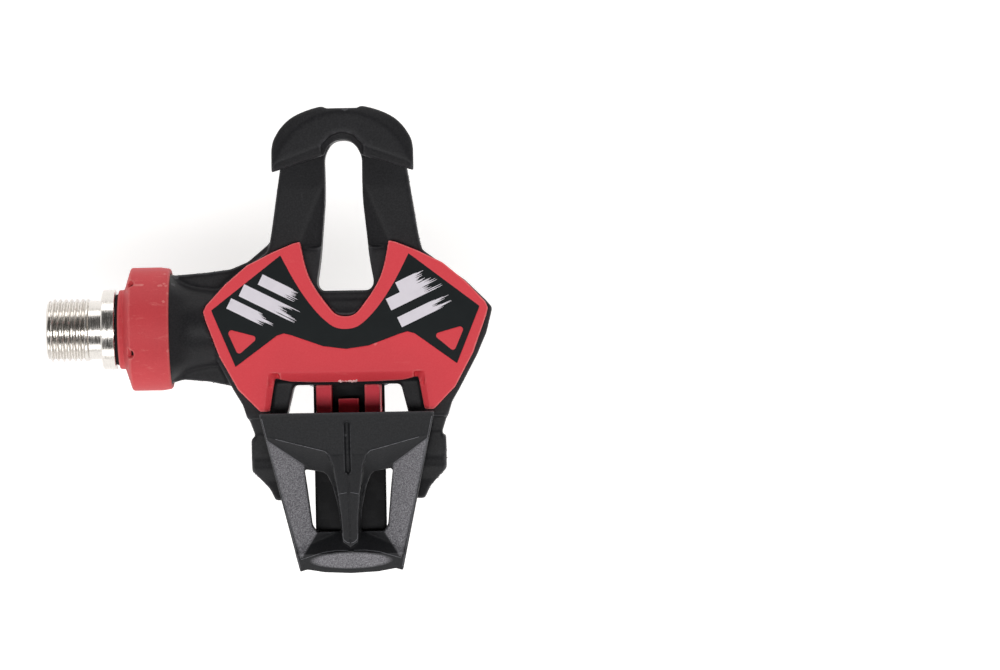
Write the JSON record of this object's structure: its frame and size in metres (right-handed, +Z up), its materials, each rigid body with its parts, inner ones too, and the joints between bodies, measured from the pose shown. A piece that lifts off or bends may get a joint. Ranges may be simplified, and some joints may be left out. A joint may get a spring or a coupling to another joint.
{
  "type": "clipless pedal",
  "caption": "Road bicycle clipless pedal with a moulded loop body, front hook, sprung rear jaw over a carbon leaf, and a steel spindle on bearings.",
  "frame": {"origin": "centre of the spindle flange face that seats against the crank arm", "axes": "+X outboard along the spindle, +Y forward to the front hook, +Z up to the shoe"},
  "size_m": [0.1, 0.1048, 0.0278],
  "materials": {
    "polished_steel": "polished, turned",
    "seal_rubber": "matte",
    "red_collar": "dull moulded, scuffed",
    "plain_steel": "plain",
    "bearing_steel": "ground",
    "brass_cage": "turned",
    "spring_steel": "blackened",
    "black_composite": "satin moulded, fibre filled",
    "red_plastic": "matte moulded",
    "gloss_film": "gloss printed film",
    "screw_steel": "black oxide",
    "jaw_plastic": "grained moulded",
    "carbon_leaf": "carbon composite, satin"
  },
  "bodies": {
    "spindle_unit": {"spindle": "polished_steel", "bearing_inner_ring": "bearing_steel", "spindle_circlip": "spring_steel"},
    "pedal_body": {"body_shell": "black_composite", "platform_cover": "red_plastic", "platform_decal": "gloss_film", "cover_screws": "screw_steel", "lock_collar": "red_collar", "spindle_seal": "seal_rubber", "bearing_shim": "plain_steel", "bearing_outer_ring": "bearing_steel", "bearing_shields": "plain_steel", "needle_shell": "plain_steel", "pivot_pin": "plain_steel", "blade_guide": "red_plastic", "clamp_plate": "plain_steel", "clamp_screws": "screw_steel", "carbon_blade_root": "carbon_leaf"},
    "ball_set": {"bearing_balls": "bearing_steel", "ball_cage": "brass_cage"},
    "roller_set": {"needle_rollers": "bearing_steel", "needle_cage": "brass_cage"},
    "jaw": {"rear_jaw": "jaw_plastic", "jaw_bushes": "brass_cage"},
    "leaf": {"carbon_blade_leaf": "carbon_leaf"},
    "tension_cam": {"tension_screw": "brass_cage"}
  },
  "joints": [
    {"name": "pedal_spin", "type": "hinge", "parent": "spindle_unit", "child": "pedal_body", "pos_m": [0, 0, 0], "axis": [1, 0, 0], "continuous": true},
    {"name": "ball_roll", "type": "hinge", "parent": "spindle_unit", "child": "ball_set", "pos_m": [0, 0, 0], "axis": [1, 0, 0], "continuous": true},
    {"name": "roller_roll", "type": "hinge", "parent": "spindle_unit", "child": "roller_set", "pos_m": [0, 0, 0], "axis": [1, 0, 0], "continuous": true},
    {"name": "jaw_pivot", "type": "hinge", "parent": "pedal_body", "child": "jaw", "pos_m": [0.0548, -0.0288, -0.002], "axis": [1, 0, 0], "range_deg": [0, 15], "stiffness_Nm_per_rad": 1, "springref_deg": -5.73},
    {"name": "leaf_flex", "type": "hinge", "parent": "pedal_body", "child": "leaf", "pos_m": [0.0548, -0.014, -0.0076], "axis": [1, 0, 0], "range_deg": [0, 9.2]},
    {"name": "tension_turn", "type": "hinge", "parent": "pedal_body", "child": "tension_cam", "pos_m": [0.0548, -0.0106, -0.0106], "axis": [0, 0, -1], "range_deg": [0, 180]}
  ],
  "couplings": [
    {"joint": "ball_roll", "follows": "pedal_spin", "ratio": 0.5821},
    {"joint": "roller_roll", "follows": "pedal_spin", "ratio": 0.5882},
    {"joint": "leaf_flex", "follows": "jaw_pivot", "ratio": 0.61}
  ]
}
